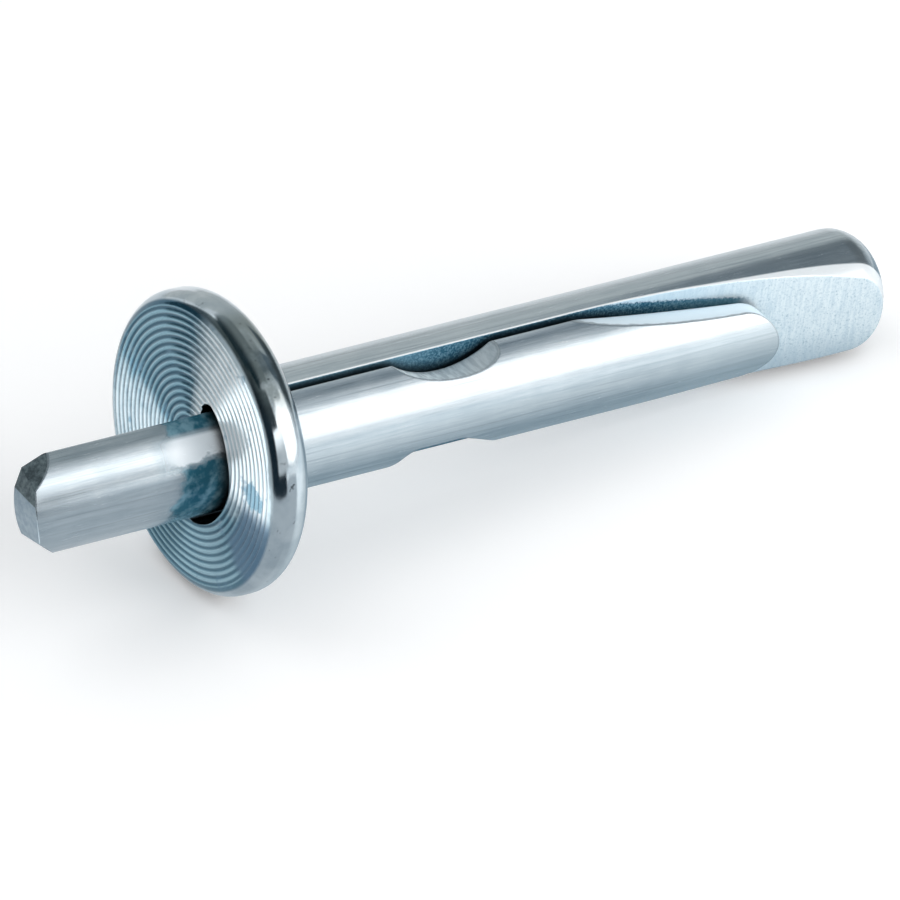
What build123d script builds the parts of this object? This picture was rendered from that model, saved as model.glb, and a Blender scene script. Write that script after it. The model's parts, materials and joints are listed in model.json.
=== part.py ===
# Ceiling wedge anchor: a headed anchor body with a flat along its shank, and the
# expansion wedge that lies on the flat, passes through the head and is driven in.
# Millimetres, +Z up. The anchor lies on the rim of its head and on its tip; the
# origin is on the ground under the middle of the whole length.
# Stations are measured along the shank from the front of the head, heights from
# the shank axis towards the wedge, and widths across both.
import math
import os

from build123d import *

# ---- anchor body: head, pressed a little above the shank axis, as the anchor lies ----
head_radius = 7.42
head_thickness = 2.35
head_offset = 0.35
head_front_edge = 0.85
head_back_edge = 1.1

# concentric ridges on the front of the head
ridge_count = 16
ridge_pitch = 0.35
ridge_depth = 0.075
ridge_outer_radius = 6.85

# ---- anchor body: shank, flat and ramp ----
shank_radius = 3.0
body_length = 38.4
tip_edge = 1.8
flat_height = 0.5
ramp_start = 21.0
ramp_radius = 74.0

# opening in the head for the wedge
opening_clearance = 0.5
opening_corner = 0.5

# ---- expansion wedge ----
wedge_play = 0.33
wedge_edge = 0.1
wedge_tip = 31.55
shoulder_start = 19.6
shoulder_end = 22.4
tongue_root_half_width = 2.54
tongue_side_hollow = 0.09
tongue_end_radius = 1.85
tongue_gap = 0.4

# driven end, domed and cut askew, with both corners taken off by cuts that lean inwards
driven_end = 10.3
crown_width = 1.25
end_dome = 0.17
near_corner_setback = 0.25
far_corner_setback = 0.75
near_corner_width = 2.3
far_corner_width = 1.6
near_corner_length = 1.6
far_corner_length = 1.65
corner_lean = 0.25

# the bite in the near long edge, whose wall leans out, and the deeper one in the far edge
near_bite_start = 10.2
near_bite_end = 15.9
near_bite_half_width = 1.81
near_bite_lean = 2.5
near_bite_spread = 0.45
far_bite_start = 9.9
far_bite_end = 17.3
far_bite_wall = 0.9
far_bite_slope = 3.5
far_bite_half_width = 0.9
far_bite_corner = 0.9
far_bite_sag = 0.2

# turn of the wedge below the horizontal, as the anchor lies
wedge_dip = 3.0

# ---- lying frame ----
# the ground touches the rounded back edge of the head and the rounded tip
sin_dip = math.sin(math.radians(wedge_dip))
cos_dip = math.cos(math.radians(wedge_dip))
contact_run = (body_length - tip_edge) - (head_thickness - head_back_edge)
tip_drop = shank_radius - tip_edge
head_drop = head_radius - head_offset * cos_dip - head_back_edge
contact_rise = head_drop - tip_drop
contact_span = math.hypot(contact_run, contact_rise)
edge_turn = math.asin((tip_edge - head_back_edge) / contact_span)
tilt = math.atan2(contact_rise, contact_run) - edge_turn
sin_tilt = math.sin(tilt)
cos_tilt = math.cos(tilt)

x_tip = (body_length - tip_edge) * cos_tilt + tip_drop * sin_tilt + tip_edge
x_end = -driven_end * cos_tilt
front_x = -(x_tip + x_end) / 2
front_z = (body_length - tip_edge) * sin_tilt + tip_drop * cos_tilt + tip_edge

front_centre = (front_x, 0, front_z)
axis_dir = (cos_tilt, 0, -sin_tilt)
wedge_dir = (-sin_tilt * sin_dip, -cos_dip, -cos_tilt * sin_dip)
across_dir = (-sin_tilt * cos_dip, sin_dip, -cos_tilt * cos_dip)

# square to the shank; along it seen from the side; along it seen from the wedge
cross_plane = Plane(origin=front_centre, x_dir=wedge_dir, z_dir=axis_dir)
side_plane = Plane(origin=front_centre, x_dir=axis_dir, z_dir=across_dir)
plan_plane = Plane(origin=front_centre, x_dir=axis_dir, z_dir=wedge_dir)
shank_axis = Axis(front_centre, axis_dir)
head_centre = cross_plane.from_local_coords((0, -head_offset, 0))
head_plane = Plane(origin=head_centre, x_dir=axis_dir, z_dir=across_dir)
head_axis = Axis(head_centre, axis_dir)
across_axis = Axis(front_centre, across_dir)

clear = 2 * head_radius
edge_band = shank_radius / 3
edge_run = 2 * shank_radius


def ramp_height(station):
    run = station - ramp_start
    return flat_height + ramp_radius - math.sqrt(ramp_radius**2 - run**2)


# ---- anchor body ----
with BuildPart() as anchor_body:
    with BuildSketch(cross_plane):
        with Locations((0, -head_offset)):
            Circle(head_radius)
    extrude(amount=head_thickness)
    rims = anchor_body.edges().filter_by(GeomType.CIRCLE).sort_by(shank_axis)
    fillet(rims[0], radius=head_front_edge)
    rims = anchor_body.edges().filter_by(GeomType.CIRCLE).sort_by(shank_axis)
    fillet(rims[-1], radius=head_back_edge)
    with BuildSketch(cross_plane):
        Circle(shank_radius)
    extrude(amount=body_length)
    rims = anchor_body.edges().filter_by(GeomType.CIRCLE).sort_by(shank_axis)
    fillet(rims[-1], radius=tip_edge)
    # the flat, and the ramp that rises from it to the tip
    ramp_middle = (ramp_start + body_length) / 2
    ramp_end = body_length + 1
    with BuildSketch(side_plane):
        with BuildLine():
            Polyline(
                (ramp_start, flat_height),
                (head_thickness, flat_height),
                (head_thickness, clear),
                (ramp_end, clear),
                (ramp_end, ramp_height(ramp_end)),
            )
            ThreePointArc(
                (ramp_start, flat_height),
                (ramp_middle, ramp_height(ramp_middle)),
                (ramp_end, ramp_height(ramp_end)),
            )
        make_face()
    extrude(amount=shank_radius + 1, both=True, mode=Mode.SUBTRACT)
    # the opening in the head
    with BuildSketch(cross_plane):
        Circle(shank_radius + opening_clearance)
        with Locations((flat_height, 0)):
            Rectangle(clear, clear, align=(Align.MIN, Align.CENTER), mode=Mode.INTERSECT)
        fillet(vertices(), radius=opening_corner)
    extrude(amount=head_thickness, mode=Mode.SUBTRACT)
    # the ridges
    with BuildSketch(head_plane):
        for ridge in range(ridge_count):
            crest = ridge_outer_radius - ridge * ridge_pitch
            with BuildLine():
                Polyline(
                    (-1, crest),
                    (0, crest),
                    (ridge_depth, crest - ridge_pitch / 2),
                    (0, crest - ridge_pitch),
                    (-1, crest - ridge_pitch),
                    close=True,
                )
            make_face()
    revolve(axis=head_axis, mode=Mode.SUBTRACT)

anchor_body.part.label = "anchor_body"

# ---- expansion wedge ----
wedge_flat = flat_height + wedge_play
hollow_middle = (ramp_start + wedge_tip) / 2
with BuildPart() as expansion_wedge:
    with BuildSketch(cross_plane.offset(-driven_end)):
        Circle(shank_radius)
    extrude(amount=driven_end + wedge_tip)
    # seen from the side: flat on the body, then hollowed to follow the ramp
    with BuildSketch(side_plane):
        with BuildLine():
            Polyline(
                (ramp_start, wedge_flat),
                (-driven_end, wedge_flat),
                (-driven_end, clear),
                (wedge_tip, clear),
                (wedge_tip, ramp_height(wedge_tip) + tongue_gap),
            )
            ThreePointArc(
                (ramp_start, wedge_flat),
                (hollow_middle, ramp_height(hollow_middle) + tongue_gap),
                (wedge_tip, ramp_height(wedge_tip) + tongue_gap),
            )
        make_face()
    extrude(amount=shank_radius + 1, both=True, mode=Mode.INTERSECT)
    for near, far in ((edge_band, shank_radius), (-shank_radius, -edge_band)):
        long_edges = expansion_wedge.edges().filter_by_position(across_axis, near, far)
        fillet(long_edges.filter_by(lambda e: e.length > edge_run), radius=wedge_edge)
    # seen square to the flat: the driven end, the shoulders and the tongue
    near_corner = near_corner_setback - driven_end
    far_corner = far_corner_setback - driven_end
    end_middle = (far_corner - driven_end) / 2
    tongue_straight = wedge_tip - tongue_end_radius
    tongue_middle = (shoulder_end + tongue_straight) / 2
    mid_half_width = (tongue_root_half_width + tongue_end_radius) / 2
    with BuildSketch(plan_plane):
        with BuildLine():
            Polyline(
                (shoulder_end, tongue_root_half_width),
                (shoulder_start, shank_radius),
                (near_corner, shank_radius),
                (near_corner, near_corner_width),
                (-driven_end, crown_width),
            )
            ThreePointArc(
                (-driven_end, crown_width),
                (end_middle - end_dome, (crown_width - far_corner_width) / 2),
                (far_corner, -far_corner_width),
            )
            Polyline(
                (far_corner, -far_corner_width),
                (far_corner, -shank_radius),
                (shoulder_start, -shank_radius),
                (shoulder_end, -tongue_root_half_width),
            )
            ThreePointArc(
                (tongue_straight, -tongue_end_radius),
                (wedge_tip, 0),
                (tongue_straight, tongue_end_radius),
            )
            for side in (1, -1):
                ThreePointArc(
                    (shoulder_end, side * tongue_root_half_width),
                    (tongue_middle, side * (mid_half_width - tongue_side_hollow)),
                    (tongue_straight, side * tongue_end_radius),
                )
        make_face()
    extrude(amount=clear, mode=Mode.INTERSECT)
    # the corners of the driven end, cut further in the higher they stand off the flat
    for side, station, half_width, length in (
        (1, near_corner, near_corner_width, near_corner_length),
        (-1, far_corner, far_corner_width, far_corner_length),
    ):
        slope = (shank_radius - half_width) / length
        outward = side * plan_plane.y_dir - slope * plan_plane.x_dir
        corner = plan_plane.from_local_coords((station, side * half_width, wedge_flat))
        corner_plane = Plane(origin=corner, z_dir=outward + corner_lean * plan_plane.z_dir)
        split(bisect_by=corner_plane, keep=Keep.BOTTOM)
    # the near bite, cut square to the flat at its start and aslant at its end
    for height, end, half_width in (
        (flat_height, near_bite_end, near_bite_half_width),
        (shank_radius, near_bite_end + near_bite_lean, near_bite_half_width + near_bite_spread),
    ):
        with BuildSketch(plan_plane.offset(height)):
            with BuildLine():
                ThreePointArc(
                    (near_bite_start, shank_radius),
                    ((near_bite_start + end) / 2, half_width),
                    (end, shank_radius),
                )
                Line((end, shank_radius), (near_bite_start, shank_radius))
            make_face()
    loft(mode=Mode.SUBTRACT)
    # the far bite's floor runs out in a shallow hollow towards the tip
    slope_start = far_bite_end - far_bite_slope
    slope_middle = (slope_start + far_bite_end) / 2
    slope_half_width = (far_bite_half_width + shank_radius) / 2
    with BuildSketch(plan_plane):
        with BuildLine():
            Polyline(
                (far_bite_end, -shank_radius),
                (far_bite_start, -shank_radius),
                (far_bite_start + far_bite_wall, -far_bite_half_width),
                (slope_start, -far_bite_half_width),
            )
            ThreePointArc(
                (slope_start, -far_bite_half_width),
                (slope_middle, far_bite_sag - slope_half_width),
                (far_bite_end, -shank_radius),
            )
        make_face()
        floor = vertices().sort_by(Axis.Y)[-2:]
        fillet(floor, radius=far_bite_corner)
    extrude(amount=clear, mode=Mode.SUBTRACT)

expansion_wedge.part.label = "expansion_wedge"

os.makedirs("parts", exist_ok=True)
export_step(anchor_body.part, "parts/anchor_body.step")
export_step(expansion_wedge.part, "parts/expansion_wedge.step")
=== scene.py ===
# Looks of the ceiling wedge anchor: zinc-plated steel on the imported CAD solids, a plain pale
# floor, a soft studio and the camera. Metres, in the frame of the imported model; the zinc's own
# places are in millimetres of the shank's frame.
import json
import math

import bpy
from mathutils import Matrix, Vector

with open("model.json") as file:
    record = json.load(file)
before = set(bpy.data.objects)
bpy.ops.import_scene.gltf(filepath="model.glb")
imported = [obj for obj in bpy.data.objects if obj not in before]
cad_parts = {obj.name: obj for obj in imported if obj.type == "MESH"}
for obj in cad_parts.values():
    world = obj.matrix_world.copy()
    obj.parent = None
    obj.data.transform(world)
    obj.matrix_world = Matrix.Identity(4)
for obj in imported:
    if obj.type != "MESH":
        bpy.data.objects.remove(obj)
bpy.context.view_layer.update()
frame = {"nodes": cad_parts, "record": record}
body = frame["nodes"]["anchor_body"]
wedge = frame["nodes"]["expansion_wedge"]
mounts = {m["name"]: m for m in frame["record"]["mounts"]}

# ---- the shank's own frame: along it, across it, and out of the flat towards the wedge ----
mount_station = 0.021
wedge_dip = math.radians(3.0)
head_rise = 0.00035
along = Vector(mounts["shank"]["axis"]).normalized()
tilt = math.atan2(-along.z, along.x)
across = Vector((
    math.sin(tilt) * math.cos(wedge_dip),
    -math.sin(wedge_dip),
    math.cos(tilt) * math.cos(wedge_dip),
))
toward = along.cross(across)
front = Vector(mounts["shank"]["pos_m"]) - along * mount_station
head_mid = front + across * head_rise

# ---- sizes that the looks follow, in millimetres; stations count from the head's front ----
head_thickness = 2.35
shank_radius = 3.0
flat_height = 0.5
ramp_start = 21.0
ramp_radius = 74.0
shoulder_end = 22.4
tongue_half_width = 2.54
tongue_taper = 0.095
spot_side = 5.6
spot_above = 0.95
mm_per_metre = 1000.0


# ---- node helpers ----
class Graph:
    """The node tree of a material or of the world, with short calls for its nodes."""

    def __init__(self, owner, output="ShaderNodeOutputMaterial"):
        owner.use_nodes = True
        self.owner = owner
        self.tree = owner.node_tree
        self.tree.nodes.clear()
        self.out = self.node(output)

    def node(self, kind, **settings):
        node = self.tree.nodes.new(kind)
        for name, value in settings.items():
            setattr(node, name, value)
        return node

    def put(self, socket, value):
        """Link a socket or set it. A colour is given as red, green and blue."""
        if isinstance(value, bpy.types.NodeSocket):
            self.tree.links.new(value, socket)
        elif socket.type == "RGBA":
            socket.default_value = (*value, 1.0)
        else:
            socket.default_value = value

    def fill(self, node, values):
        """Put the values into the node's first sockets."""
        for socket, value in zip(node.inputs, values):
            self.put(socket, value)
        return node

    def math(self, operation, *values):
        return self.fill(self.node("ShaderNodeMath", operation=operation), values).outputs[0]

    def add(self, a, b):
        return self.math("ADD", a, b)

    def sub(self, a, b):
        return self.math("SUBTRACT", a, b)

    def mul(self, a, b):
        return self.math("MULTIPLY", a, b)

    def outside(self, mask):
        """One where the mask is none, and none where it is one."""
        return self.sub(1.0, mask)

    def total(self, *parts):
        """The sum of values, each times its weight."""
        terms = [self.mul(value, weight) for value, weight in parts]
        result = terms[0]
        for term in terms[1:]:
            result = self.add(result, term)
        return result

    def vmath(self, operation, *values):
        node = self.fill(self.node("ShaderNodeVectorMath", operation=operation), values)
        is_number = operation in ("DOT_PRODUCT", "LENGTH")
        return node.outputs["Value" if is_number else "Vector"]

    def ramp(self, value, low, high, start, end, interpolation="SMOOTHSTEP"):
        """From start, where the value is low, to end, where it is high."""
        node = self.node("ShaderNodeMapRange", interpolation_type=interpolation)
        return self.fill(node, (value, low, high, start, end)).outputs[0]

    def rise(self, value, low, high, level=1.0):
        """None where the value is low, and the level where it is high."""
        return self.ramp(value, low, high, 0.0, level)

    def fall(self, value, low, high, level=1.0):
        """The level where the value is low, and none where it is high."""
        return self.ramp(value, low, high, level, 0.0)

    def noise(self, place, scale, detail, roughness):
        """A soft noise about a half."""
        node = self.node("ShaderNodeTexNoise")
        self.put(node.inputs["Vector"], place)
        self.put(node.inputs["Scale"], scale)
        self.put(node.inputs["Detail"], detail)
        self.put(node.inputs["Roughness"], roughness)
        return node.outputs["Fac"]

    def wobble(self, noise, size):
        """The noise about zero instead of a half, times a size."""
        return self.mul(self.sub(noise, 0.5), size)

    def mix(self, share, a, b):
        """Colour a, with a share of colour b."""
        node = self.node("ShaderNodeMix", data_type="RGBA")
        self.put(node.inputs[0], share)
        self.put(node.inputs[6], a)
        self.put(node.inputs[7], b)
        return node.outputs[2]

    def separate(self, place):
        """The x, y and z of a place."""
        return self.fill(self.node("ShaderNodeSeparateXYZ"), (place,)).outputs

    def white_rays(self):
        """One for the rays that see the white background, none for the rest."""
        rays = self.node("ShaderNodeLightPath").outputs
        seen = self.math("MAXIMUM", rays["Is Camera Ray"], rays["Is Glossy Ray"])
        return self.math("MAXIMUM", seen, rays["Is Transmission Ray"])


# ---- colours of the zinc: bare, in its marks, and a painted shade where it is closed in by other steel ----
bare_dim = (0.370, 0.445, 0.495)
bare_light = (0.490, 0.560, 0.605)
mark_dark = (0.24, 0.30, 0.34)
# a painted shade, near black, down in the slot and the opening
painted_recess_shade = (0.005, 0.011, 0.017)

# on the flat and the ramp, open and under the wedge: a painted shade under the wedge and on the
# ramp's lower side, and a painted highlight on their edges
open_dim = (0.60, 0.72, 0.79)
open_light = (0.78, 0.87, 0.91)
open_pit = (0.38, 0.52, 0.60)
open_ramp_foot = (0.46, 0.62, 0.73)
# a painted shade on the lower side of the ramp
painted_shade_lower_side = (0.34, 0.45, 0.53)
# a painted shade in dark blue on the flat under the wedge, lighter by the head and on the ramp
painted_shade_under_wedge_dark = (0.012, 0.095, 0.165)
painted_shade_under_wedge_light = (0.170, 0.350, 0.460)
painted_shade_under_wedge_by_head = (0.20, 0.38, 0.49)
painted_shade_under_wedge_on_ramp = (0.20, 0.47, 0.64)
# a painted highlight on the edges of the flat and the ramp
painted_edge_highlight = (0.84, 0.88, 0.90)

# on the head: painted highlights, painted dark reflections on the face and the rim, and painted
# shade in the grooves
# a painted highlight on the ridges, darker down the grooves as painted shade
painted_highlight_crest = (0.93, 0.97, 0.99)
painted_highlight_groove = (0.62, 0.75, 0.81)
# a painted dark reflection on the ridges, darker down the grooves, and lighter low on the face
painted_reflection_crest = (0.22, 0.40, 0.49)
painted_reflection_groove = (0.022, 0.095, 0.150)
painted_low_reflection_crest = (0.36, 0.56, 0.65)
painted_low_reflection_groove = (0.080, 0.190, 0.260)
patch_blue = (0.14, 0.27, 0.37)
smear_blue = (0.115, 0.21, 0.31)
spot_blue = (0.15, 0.34, 0.46)
# a painted dark reflection high on the rim
painted_dark_reflection_rim = (0.16, 0.20, 0.20)
nick_dark = (0.06, 0.075, 0.085)

# on the wedge: painted dark reflections on the end's upper corner and before the head, and a
# painted highlight above the latter
tongue_light = (0.62, 0.70, 0.74)
cut_white = (0.92, 0.99, 1.00)
cut_gray = (0.35, 0.42, 0.46)
cut_bar = (0.22, 0.28, 0.32)
cut_tongue = (0.76, 0.87, 0.93)
cut_gray_edge_line = (0.24, 0.29, 0.32)
end_dark = (0.14, 0.20, 0.25)
end_light = (0.21, 0.275, 0.32)
# a painted dark reflection on the corner of the end that looks up
painted_reflection_corner_dark = (0.035, 0.055, 0.065)
painted_reflection_corner_light = (0.12, 0.165, 0.18)
# a painted reflection of the head on the wedge before it, blue, with a painted highlight above it
painted_reflection_dark = (0.020, 0.130, 0.190)
painted_reflection_light = (0.200, 0.370, 0.450)
painted_highlight_pale = (0.88, 0.94, 0.98)


# ---- zinc ----
class Zinc(Graph):
    """Cold-drawn steel under bright zinc, built up in layers of colour, metal and relief."""

    edge_rounding = 0.00012
    recess_shade_reach = 0.0010
    relief_depth = 0.000008

    def __init__(self, name, has_head):
        super().__init__(bpy.data.materials.new(name))
        coords = self.node("ShaderNodeTexCoord")
        self.normal = coords.outputs["Normal"]
        self.object_place = coords.outputs["Object"]
        place = self.vmath("SUBTRACT", self.object_place, tuple(front))
        turn = self.node("ShaderNodeMapping")
        self.put(turn.inputs["Rotation"], (0.0, -tilt, 0.0))
        self.put(turn.inputs["Vector"], place)
        self.mm = self.vmath("MULTIPLY", turn.outputs[0], (mm_per_metre,) * 3)
        self.x = self.separate(self.mm)[0]
        self.out_of_flat = self.distance_along(place, toward)
        self.above = self.distance_along(place, across)
        self.facing_wedge = self.vmath("DOT_PRODUCT", self.normal, tuple(toward))
        before_back = self.fall(self.x, head_thickness - 0.45, head_thickness - 0.05)
        self.in_head = self.mul(before_back, float(has_head))
        self.draw_marks()

    def distance_along(self, place, direction):
        """How far a place lies in a direction, in millimetres."""
        return self.mul(self.vmath("DOT_PRODUCT", place, tuple(direction)), mm_per_metre)

    def scaled(self, *factors):
        """The place with its axes scaled: a noise runs long in an axis that is squeezed."""
        return self.vmath("MULTIPLY", self.mm, factors)

    def paint(self, where, color):
        self.color = self.mix(where, self.color, color)

    def dull(self, where, amount):
        """Less of a metal there."""
        self.metal = self.sub(self.metal, self.mul(where, amount))

    def roughen(self, where, amount):
        self.rough = self.add(self.rough, self.mul(where, amount))

    def draw_marks(self):
        """The bare zinc: long thin marks along the steel, and only clouds on the head."""
        lines = self.noise(self.scaled(0.035, 1.0, 1.0), scale=3.4, detail=4.0, roughness=0.62)
        fine = self.noise(self.scaled(0.06, 1.0, 1.0), scale=13.0, detail=3.0, roughness=0.6)
        streaks = self.noise(self.scaled(0.012, 1.0, 1.0), scale=9.0, detail=2.0, roughness=0.5)
        self.cloud = self.noise(self.mm, scale=0.55, detail=3.0, roughness=0.55)
        self.grain = self.noise(self.mm, scale=16.0, detail=2.0, roughness=0.6)
        off_head = self.outside(self.in_head)
        tone = self.total((lines, 0.55), (fine, 0.2), (self.cloud, 0.25))
        tone = self.total((tone, off_head), (self.cloud, self.in_head))
        self.color = self.mix(self.rise(tone, 0.34, 0.66), bare_dim, bare_light)
        self.paint(self.mul(self.mul(self.rise(streaks, 0.58, 0.68), off_head), 0.35), mark_dark)
        self.metal = 0.94
        self.rough = self.add(self.mul(fine, 0.12), 0.19)
        self.height = self.total((lines, 0.7), (fine, 0.3), (self.grain, 0.10))

    def recess_shade(self):
        """How closed in a spot is, down in the slot and the opening: the mask of a painted shade
        there.
        """
        shade = self.node("ShaderNodeAmbientOcclusion", samples=6)
        self.put(shade.inputs["Distance"], self.recess_shade_reach)
        return self.fall(shade.outputs["AO"], 0.30, 0.80)

    def finish(self):
        """Join the layers on the steel, with its edges a little rounded."""
        rounded = self.node("ShaderNodeBevel", samples=6)
        self.put(rounded.inputs["Radius"], self.edge_rounding)
        bump = self.node("ShaderNodeBump")
        self.put(bump.inputs["Strength"], 0.5)
        self.put(bump.inputs["Distance"], self.relief_depth)
        self.put(bump.inputs["Height"], self.height)
        self.put(bump.inputs["Normal"], rounded.outputs[0])
        steel = self.node("ShaderNodeBsdfPrincipled")
        self.put(steel.inputs["Metallic"], self.metal)
        self.put(steel.inputs["Base Color"], self.color)
        self.put(steel.inputs["Roughness"], self.rough)
        self.put(steel.inputs["Normal"], bump.outputs[0])
        self.put(self.out.inputs["Surface"], steel.outputs[0])
        return self.owner


# ---- zinc of the anchor body ----
def shadow_beside_tongue(g, stipple):
    """A painted shadow in a band of the ramp close beside the tongue, narrower towards the tip."""
    tongue_edge = tongue_half_width + tongue_taper * shoulder_end
    gap = g.sub(g.math("ABSOLUTE", g.above), g.mul(g.x, -tongue_taper))
    gap = g.add(g.sub(gap, tongue_edge), g.wobble(stipple, 0.45))
    band_width = g.ramp(g.x, 22.5, 31.0, 0.46, 0.02, "LINEAR")
    band = g.fall(g.sub(gap, band_width), -0.07, 0.07)
    before_tip = g.fall(g.x, 29.9, 31.0)
    return g.mul(band, before_tip)


def flat_and_ramp(g):
    """A pale, pitted surface, dull, with a painted shade in blue where the wedge lies over it and
    on the ramp's lower side, and a painted shadow beside the tongue. Returns its mask.
    """
    past_head = g.rise(g.x, head_thickness - 0.05, head_thickness + 0.05)
    flat = g.mul(g.rise(g.facing_wedge, 0.86, 0.93), past_head)
    stipple = g.noise(g.mm, scale=9.0, detail=4.0, roughness=0.7)
    stripes = g.noise(g.scaled(1.0, 0.10, 0.10), scale=6.5, detail=3.0, roughness=0.65)
    tone = g.total((stripes, 0.5), (stipple, 0.5))
    between_pits = g.rise(stipple, 0.30, 0.44)
    ramp_foot = g.fall(g.x, 25.0, 34.0, 0.75)
    # painted shade: darker on the lower side of the ramp towards the tip
    lower_side_shade = g.mul(g.fall(g.above, -2.6, -0.6, 0.55), g.rise(g.x, 28.0, 31.0))
    open_color = g.mix(g.rise(tone, 0.38, 0.62), open_dim, open_light)
    open_color = g.mix(between_pits, open_pit, open_color)
    open_color = g.mix(ramp_foot, open_color, open_ramp_foot)
    open_color = g.mix(lower_side_shade, open_color, painted_shade_lower_side)

    # painted shade under the wedge, lighter by the head and on the ramp
    by_head = g.mul(g.fall(g.x, 9.5, 14.5), 0.5)
    on_ramp = g.rise(g.x, 25.0, 30.0, 0.45)
    under_wedge_shade_color = g.mix(g.rise(stipple, 0.42, 0.66), painted_shade_under_wedge_dark, painted_shade_under_wedge_light)
    under_wedge_shade_color = g.mix(by_head, under_wedge_shade_color, painted_shade_under_wedge_by_head)
    under_wedge_shade_color = g.mix(on_ramp, under_wedge_shade_color, painted_shade_under_wedge_on_ramp)
    # painted shade before the ramp, and the painted shadow beside the tongue
    before_ramp = g.fall(g.x, ramp_start - 0.5, ramp_start + 4.0)
    under_wedge_shade = g.math("MAXIMUM", before_ramp, shadow_beside_tongue(g, stipple))
    g.paint(flat, g.mix(under_wedge_shade, open_color, under_wedge_shade_color))

    g.dull(flat, 0.30)
    g.roughen(flat, 0.22)
    g.height = g.total((g.height, g.outside(flat)), (g.add(stipple, stripes), g.mul(flat, 1.4)))
    return flat


def edge_highlight(g, flat):
    """A painted highlight along the edges of the flat and the ramp, wider towards the tip."""
    run = g.math("MAXIMUM", g.sub(g.x, ramp_start), 0.0)
    ramp_height = g.add(g.mul(g.mul(run, run), 1 / (2 * ramp_radius)), flat_height)
    width = g.add(g.mul(g.rise(g.x, 28.0, 38.0), 0.50), 0.10)
    below_edge = g.sub(g.sub(ramp_height, g.out_of_flat), width)
    edge = g.mul(g.fall(below_edge, -0.05, 0.05), g.outside(flat))
    past_head = g.rise(g.x, head_thickness + 0.05, head_thickness + 0.25)
    edge = g.mul(edge, past_head)
    # the painted highlight, near white, on the edge
    g.paint(g.mul(edge, 0.9), painted_edge_highlight)
    g.dull(edge, 0.70)


def opening_spot(g, side):
    """A ragged spot beside the opening."""
    ragged = g.noise(g.mm, scale=1.6, detail=4.0, roughness=0.65)
    from_side = g.sub(side, spot_side)
    from_above = g.mul(g.sub(g.above, spot_above), 1.3)
    squares = g.add(g.mul(from_side, from_side), g.mul(from_above, from_above))
    distance = g.add(g.math("SQRT", squares), g.wobble(ragged, 2.2))
    return g.fall(distance, 0.60, 0.95, 0.85)


def head_face(g, from_mid, side, reach, patch):
    """The ridged front: a painted highlight in two pale sectors and a painted dark reflection in
    blue between them, with painted shade down the grooves. Returns its mask.
    """
    facing_front = g.mul(g.vmath("DOT_PRODUCT", g.normal, tuple(along)), -1.0)
    face = g.mul(g.rise(facing_front, 0.75, 0.88), g.in_head)

    def sector(degrees, wobble):
        """From -1 to 1 across the face, in a direction that leans up from the side."""
        lean = math.radians(degrees)
        place = g.total((side, math.cos(lean)), (g.above, math.sin(lean)))
        return g.add(g.math("DIVIDE", place, reach), g.wobble(patch, wobble))

    # painted highlight: two pale sectors of sheen; between them a painted dark reflection in blue
    bright = g.rise(sector(40.0, 0.5), 0.46, 0.92)
    bright = g.add(bright, g.fall(sector(26.0, 0.6), -1.05, -0.66, 0.62))
    # painted shade down in the grooves
    groove_shade = g.rise(g.distance_along(from_mid, along), 0.014, 0.060)
    # the painted dark reflection is lighter low on the face
    low_down = g.fall(g.above, -4.5, -1.5)
    crest = g.mix(low_down, painted_reflection_crest, painted_low_reflection_crest)
    floor = g.mix(low_down, painted_reflection_groove, painted_low_reflection_groove)
    color = g.mix(bright, g.mix(groove_shade, crest, floor), g.mix(groove_shade, painted_highlight_crest, painted_highlight_groove))
    color = g.mix(g.mul(g.rise(patch, 0.60, 0.68), 0.55), color, patch_blue)
    smear = g.mul(g.rise(sector(-19.0, 0.10), 0.905, 0.965), g.rise(reach, 4.5, 5.1))
    color = g.mix(g.mul(smear, 0.90), color, smear_blue)
    color = g.mix(opening_spot(g, side), color, spot_blue)
    g.paint(face, color)
    g.dull(face, g.add(0.26, g.mul(bright, 0.30)))
    return face


def head_rim(g, face, side, reach, patch):
    """Bright and smooth, with a fine grain, a painted dark reflection high on the rim and a few
    dark nicks.
    """
    rim = g.mul(g.in_head, g.outside(face))
    g.dull(rim, -0.05)
    g.roughen(g.in_head, -0.13)
    # a painted dark reflection high on the rim
    rim_dark_reflection = g.mul(g.rise(g.math("DIVIDE", g.above, reach), 0.66, 0.82), g.rise(side, -0.6, 1.2))
    rim_dark_reflection = g.mul(rim_dark_reflection, g.ramp(patch, 0.30, 0.50, 0.45, 0.75))
    g.paint(g.mul(rim_dark_reflection, rim), painted_dark_reflection_rim)
    nicks = g.noise(g.scaled(1.0, 2.0, 0.8), scale=1.5, detail=5.0, roughness=0.75)
    g.paint(g.mul(g.mul(g.rise(nicks, 0.635, 0.67), rim), 0.8), nick_dark)
    head_height = g.add(g.grain, g.mul(g.cloud, 2.0))
    g.height = g.total((g.height, g.outside(g.in_head)), (head_height, g.mul(g.in_head, 0.35)))


def body_zinc():
    g = Zinc("zinc_body", has_head=True)
    flat = flat_and_ramp(g)
    edge_highlight(g, flat)
    from_mid = g.vmath("SUBTRACT", g.object_place, tuple(head_mid))
    side = g.distance_along(from_mid, toward)
    reach = g.mul(g.vmath("LENGTH", from_mid), mm_per_metre)
    patch = g.noise(g.mm, scale=0.7, detail=4.0, roughness=0.65)
    face = head_face(g, from_mid, side, reach, patch)
    head_rim(g, face, side, reach, patch)
    # painted shade down in the slot and the opening, not on the open ramp
    open_ramp = g.mul(flat, g.rise(g.x, ramp_start + 1.0, ramp_start + 5.0))
    g.paint(g.mul(g.recess_shade(), g.outside(open_ramp)), painted_recess_shade)
    return g.finish()


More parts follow.
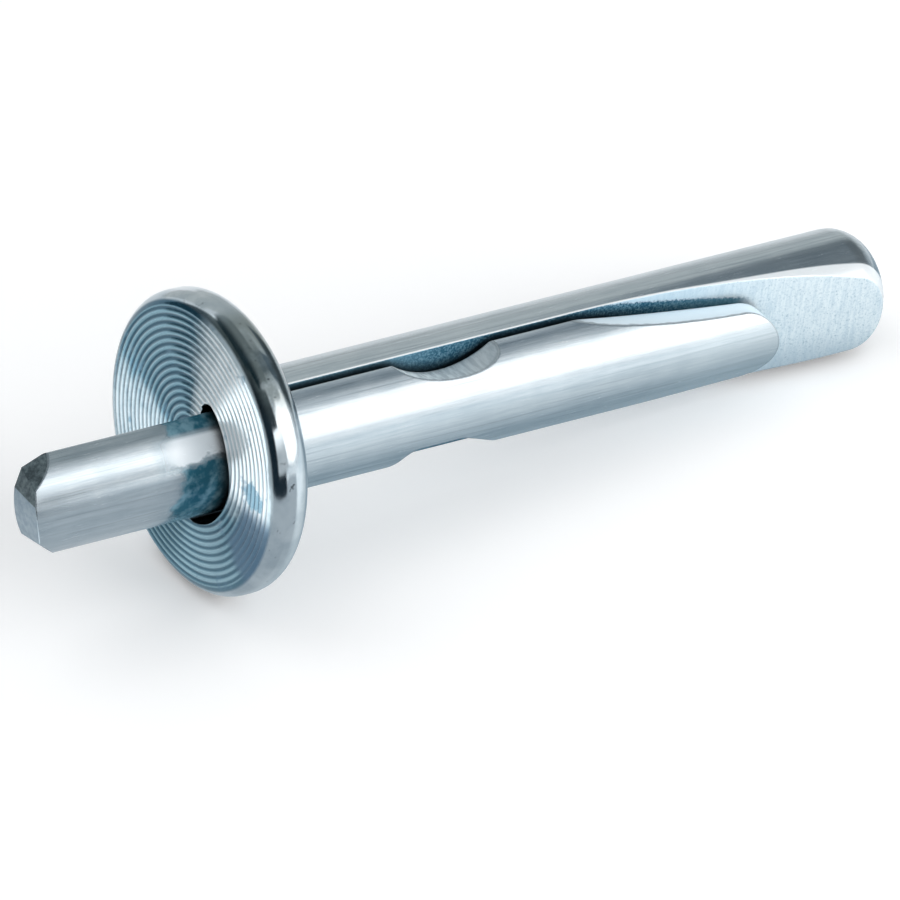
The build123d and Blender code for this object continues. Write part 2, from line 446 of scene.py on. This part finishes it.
# ---- zinc of the expansion wedge ----
def cut_faces(g):
    """Faces cut through the wire: the bites, the shoulders, the tongue's sides and the end."""
    radial = g.vmath("LENGTH", g.scaled(0.0, 1.0, 1.0))
    cut = g.fall(radial, shank_radius - 0.045, shank_radius - 0.015)
    cut = g.mul(cut, g.rise(g.facing_wedge, -0.75, -0.60))
    bars = g.noise(g.scaled(1.0, 0.15, 1.0), scale=5.5, detail=4.0, roughness=0.65)
    torn = g.noise(g.mm, scale=2.6, detail=4.0, roughness=0.7)
    color = g.mix(g.rise(g.x, 11.0, 16.5), cut_white, cut_gray)
    color = g.mix(g.rise(bars, 0.38, 0.62, 0.50), color, cut_bar)
    color = g.mix(g.rise(g.x, 19.0, 22.5), color, cut_tongue)
    # a thin ragged gray line where the cuts meet the round surface
    gray_edge_line = g.add(radial, g.wobble(torn, 0.16))
    gray_edge_line = g.rise(gray_edge_line, shank_radius - 0.12, shank_radius - 0.06)
    gray_edge_line = g.mul(gray_edge_line, g.rise(g.x, 8.0, 9.0, 0.75))
    color = g.mix(gray_edge_line, color, cut_gray_edge_line)
    # the driven end is a gray sheared face, with a painted dark reflection on the corner that looks
    # up
    torn_tone = g.rise(torn, 0.35, 0.65)
    end_color = g.mix(torn_tone, end_dark, end_light)
    corner_reflection_color = g.mix(torn_tone, painted_reflection_corner_dark, painted_reflection_corner_light)
    looks_up = g.rise(g.vmath("DOT_PRODUCT", g.normal, tuple(across)), 0.08, 0.16)
    end = g.fall(g.x, -7.4, -7.2)
    g.paint(cut, g.mix(end, color, g.mix(looks_up, end_color, corner_reflection_color)))
    g.dull(cut, 0.55)
    g.roughen(cut, g.add(0.18, g.mul(end, 0.12)))
    g.height = g.add(g.height, g.mul(g.add(bars, torn), cut))


def reflection_of_head(g):
    """A painted reflection of the head: ragged blue on the wedge just before the head, with a
    painted highlight as a pale patch above it.
    """
    ragged = g.noise(g.scaled(0.6, 1.0, 1.0), scale=1.1, detail=5.0, roughness=0.6)
    mottle = g.noise(g.mm, scale=1.3, detail=3.0, roughness=0.6)
    blue = g.rise(g.add(g.x, g.wobble(ragged, 2.2)), -2.65, -2.15)
    pale_edge = g.mul(g.add(g.x, 2.2), 0.10)
    pale = g.rise(g.sub(g.add(g.above, g.wobble(ragged, 1.8)), pale_edge), 1.05, 1.55)
    pale = g.mul(pale, g.fall(g.above, 2.35, 2.60))
    blue = g.mul(blue, g.outside(pale))
    pale = g.mul(pale, g.rise(g.x, -3.8, -2.0))
    head_reflection = g.mul(g.math("MAXIMUM", blue, pale), g.fall(g.x, 0.2, 0.6))
    color = g.mix(g.rise(mottle, 0.40, 0.66), painted_reflection_dark, painted_reflection_light)
    g.paint(head_reflection, g.mix(pale, color, painted_highlight_pale))
    g.dull(head_reflection, g.ramp(pale, 0.0, 1.0, 0.45, 0.80))


def wedge_zinc():
    g = Zinc("zinc_wedge", has_head=False)
    g.paint(g.rise(g.x, 22.0, 29.0, 0.40), tongue_light)
    cut_faces(g)
    reflection_of_head(g)
    # painted shade inside the opening of the head
    past_front = g.rise(g.x, -0.3, 0.1)
    g.paint(g.mul(g.recess_shade(), past_front), painted_recess_shade)
    return g.finish()


def dress(obj, material):
    obj.data.materials.clear()
    obj.data.materials.append(material)


dress(body, body_zinc())
dress(wedge, wedge_zinc())


# ---- stage helpers ----
def stage_mesh(name, verts, faces, material):
    mesh = bpy.data.meshes.new(name)
    mesh.from_pydata(verts, [], faces)
    mesh.materials.append(material)
    obj = bpy.data.objects.new(name, mesh)
    bpy.context.scene.collection.objects.link(obj)
    return obj


def sheet(name, centre, normal, width, height, material):
    """A flat sheet square to its normal, its width level."""
    n = Vector(normal).normalized()
    level = Vector((0, 0, 1)).cross(n)
    level = level.normalized() if level.length > 1e-6 else Vector((1, 0, 0))
    rise = n.cross(level)
    corners = [
        Vector(centre) + level * (i * width / 2) + rise * (j * height / 2)
        for i, j in ((-1, -1), (1, -1), (1, 1), (-1, 1))
    ]
    return stage_mesh(name, corners, [(0, 1, 2, 3)], material)


def emitter(name, color):
    """An emitting material. Its colour is given, or made by color(graph, x, y, z) in metres."""
    g = Graph(bpy.data.materials.new(name))
    glow = g.node("ShaderNodeEmission")
    if callable(color):
        # a stage object sits at the origin, its place in its mesh
        color = color(g, *g.separate(g.node("ShaderNodeTexCoord").outputs["Object"]))
    g.put(glow.inputs["Color"], color)
    g.put(g.out.inputs["Surface"], glow.outputs[0])
    return g.owner


def only_the_steel_sees(obj):
    """Hide it from the camera, and keep its light and its shadow off the floor."""
    obj.visible_camera = False
    obj.visible_diffuse = False
    obj.visible_shadow = False


def reflector(name, centre, normal, width, height, color):
    """A glowing sheet that only the steel sees."""
    only_the_steel_sees(sheet(name, centre, normal, width, height, emitter(name + "_paper", color)))


# ---- floor and backdrop, white to the camera and to the steel ----
white = (1.0, 1.0, 1.0)
floor_dim = (0.90, 0.90, 0.90)
floor_light = (0.92, 0.92, 0.92)
floor_glow = 0.19
backdrop_strength = 1.0
soft_fill_color = (0.96, 0.98, 1.0)
soft_fill_strength = 0.62
floor_size = 6.0


def floor_paper():
    """Pale paper that glows a little to the camera and to the steel, up to white."""
    g = Graph(bpy.data.materials.new("floor_paper"))
    place = g.node("ShaderNodeTexCoord").outputs["Object"]
    fibre = g.noise(place, scale=60.0, detail=3.0, roughness=0.5)
    paper = g.node("ShaderNodeBsdfDiffuse")
    g.put(paper.inputs["Color"], g.mix(fibre, floor_dim, floor_light))
    glow = g.node("ShaderNodeEmission")
    g.fill(glow, (white, g.mul(g.white_rays(), floor_glow)))
    both = g.fill(g.node("ShaderNodeAddShader"), (paper.outputs[0], glow.outputs[0]))
    g.put(g.out.inputs["Surface"], both.outputs[0])
    return g.owner


def studio_world():
    """White to the camera and to the steel, and a soft light for everything else."""
    g = Graph(bpy.data.worlds.new("studio"), "ShaderNodeOutputWorld")
    backdrop = g.fill(g.node("ShaderNodeBackground"), (white, backdrop_strength))
    soft_fill = g.fill(g.node("ShaderNodeBackground"), (soft_fill_color, soft_fill_strength))
    either = g.node("ShaderNodeMixShader")
    g.fill(either, (g.white_rays(), soft_fill.outputs[0], backdrop.outputs[0]))
    g.put(g.out.inputs["Surface"], either.outputs[0])
    return g.owner


sheet("floor", (0.0, 0.0, 0.0), (0, 0, 1), floor_size, floor_size, floor_paper())
bpy.context.scene.world = studio_world()


# ---- studio: cards and screens that only the steel sees ----
def card(name, direction, distance, width, height, color):
    """A card that faces the anchor from a direction and a distance."""
    d = Vector(direction).normalized()
    anchor_middle = Vector((0, 0, 0.006))
    reflector(name, anchor_middle + d * distance, -d, width, height, color)


card("card_back", (0.50, 0.80, 0.34), 0.50, 1.00, 0.56, (0.72, 0.73, 0.71))
card("card_top", (0.60, -0.08, 0.79), 0.50, 0.15, 0.50, (0.22, 0.27, 0.31))
card("card_right", (0.95, 0.05, 0.22), 0.50, 0.40, 0.26, (0.50, 0.54, 0.56))
card("card_key", (0.55, -0.72, 0.36), 0.60, 0.50, 0.42, (2.75, 2.55, 2.45))


def screen(name, radius, angles, heights, low, high):
    """A curved upright screen around the head, darkest at its foot; its angles in degrees."""
    centre_x = -0.012
    steps = 24
    start, stop = angles
    foot, top = heights
    turns = [math.radians(start + (stop - start) * k / steps) for k in range(steps + 1)]
    ring = [(centre_x + radius * math.cos(a), radius * math.sin(a)) for a in turns]
    verts = [(x, y, z) for z in (foot, top) for x, y in ring]
    faces = [(k, k + 1, k + steps + 2, k + steps + 1) for k in range(steps)]

    def cloth(g, x, y, z):
        return g.mix(g.rise(z, 0.32 * top, top), low, high)

    only_the_steel_sees(stage_mesh(name, verts, faces, emitter(name + "_cloth", cloth)))


# each with its radius, angles and heights, then its colours at the foot and at the top
screen("screen_left", 0.040, (186, 279), (0.0002, 0.080), (0.006, 0.020, 0.032), (0.20, 0.23, 0.23))
screen("screen_back", 0.055, (158, 186), (0.0190, 0.090), (0.030, 0.050, 0.062), (0.24, 0.27, 0.27))
screen("screen_rear", 0.055, (116, 158), (0.0060, 0.080), (0.030, 0.060, 0.075), (0.28, 0.31, 0.31))


def canopy_tone(g, x, y, z):
    """Dark behind and paler in front."""
    return g.mix(g.rise(x, -0.034, 0.004), (0.015, 0.045, 0.060), (0.42, 0.45, 0.45))


def near_tone(g, x, y, z):
    """Pale at the foot and bright at the top."""
    return g.mix(g.rise(z, 0.0125, 0.0165), (0.86, 0.86, 0.86), (2.40, 2.30, 2.25))


def tip_tone(g, x, y, z):
    """Darker past the tip."""
    return g.mix(g.rise(x, 0.044, 0.062), (0.23, 0.27, 0.30), (0.11, 0.13, 0.14))


def strip_shadow_tone(g, x, y, z):
    """A painted shadow of the anchor, dark under the shank; bright towards the key light and before
    the head.
    """
    color = g.mix(g.rise(y, -0.0220, -0.0075), (1.45, 1.47, 1.48), (0.98, 1.02, 1.04))
    color = g.mix(g.rise(y, -0.0095, -0.0020), color, (0.40, 0.50, 0.56))
    past_head = g.fall(g.add(x, g.mul(y, 0.6)), -0.0172, -0.0132)
    color = g.mix(past_head, color, (0.64, 0.68, 0.71))
    glow_x = g.mul(g.rise(x, -0.085, -0.075), g.fall(x, -0.0275, -0.0235))
    glow_y = g.mul(g.rise(y, -0.009, -0.007), g.fall(y, 0.014, 0.018))
    return g.mix(g.mul(glow_x, glow_y), color, (2.15, 2.20, 2.23))


# over the head, by the driven end, before the head, over the tip and on the floor
reflector("canopy", (-0.024, 0.0075, 0.0685), (0, 0, -1), 0.105, 0.072, canopy_tone)
reflector("card_near", (-0.0133, -0.014, 0.0135), (0, 1, 0), 0.0090, 0.0070, near_tone)
reflector("card_front", (-0.0640, 0.0060, 0.0092), (1, 0, 0), 0.0240, 0.0180, (2.60, 2.65, 2.68))
reflector("card_tip", (0.064, 0.005, 0.0360), (-0.60, -0.10, -0.79), 0.060, 0.050, tip_tone)
reflector("strip", (0.010, -0.043, 0.0001), (0, 0, 1), 0.200, 0.106, strip_shadow_tone)


# ---- lamps ----
def lamp(name, direction, distance, width, height, watts):
    """A soft lamp that faces the origin."""
    data = bpy.data.lights.new(name, "AREA")
    data.shape = "RECTANGLE"
    data.size = width
    data.size_y = height
    data.energy = watts
    obj = bpy.data.objects.new(name, data)
    bpy.context.scene.collection.objects.link(obj)
    d = Vector(direction).normalized()
    obj.location = d * distance
    obj.rotation_mode = "QUATERNION"
    obj.rotation_quaternion = d.to_track_quat("Z", "Y")
    return obj


# the steel sees card_key in the key lamp's place
key = lamp("key", (0.55, -0.72, 0.36), 0.60, 0.50, 0.42, 2.8)
key.visible_glossy = False
lamp("fill", (-0.30, 0.30, 0.90), 0.80, 0.50, 0.50, 0.9)

# ---- camera ----
azimuth = math.radians(-32.53)
elevation = math.radians(35.04)
camera_distance = 0.850
target = Vector((0, 0, 0.004))
shift_right = 0.000469
shift_down = 0.001619
back = Vector((
    math.sin(azimuth) * math.cos(elevation),
    -math.cos(azimuth) * math.cos(elevation),
    math.sin(elevation),
))
right = Vector((math.cos(azimuth), math.sin(azimuth), 0.0))
aim = target + right * shift_right - back.cross(right) * shift_down
camera_data = bpy.data.cameras.new("camera")
camera_data.sensor_width = 36.0
camera_data.lens = 716.18
camera_data.clip_start = 0.05
camera_data.clip_end = 20.0
camera = bpy.data.objects.new("camera", camera_data)
bpy.context.scene.collection.objects.link(camera)
camera.location = aim + back * camera_distance
camera.rotation_mode = "QUATERNION"
camera.rotation_quaternion = (-back).to_track_quat("-Z", "Y")
bpy.context.scene.camera = camera

bpy.context.scene.view_settings.view_transform = "Standard"
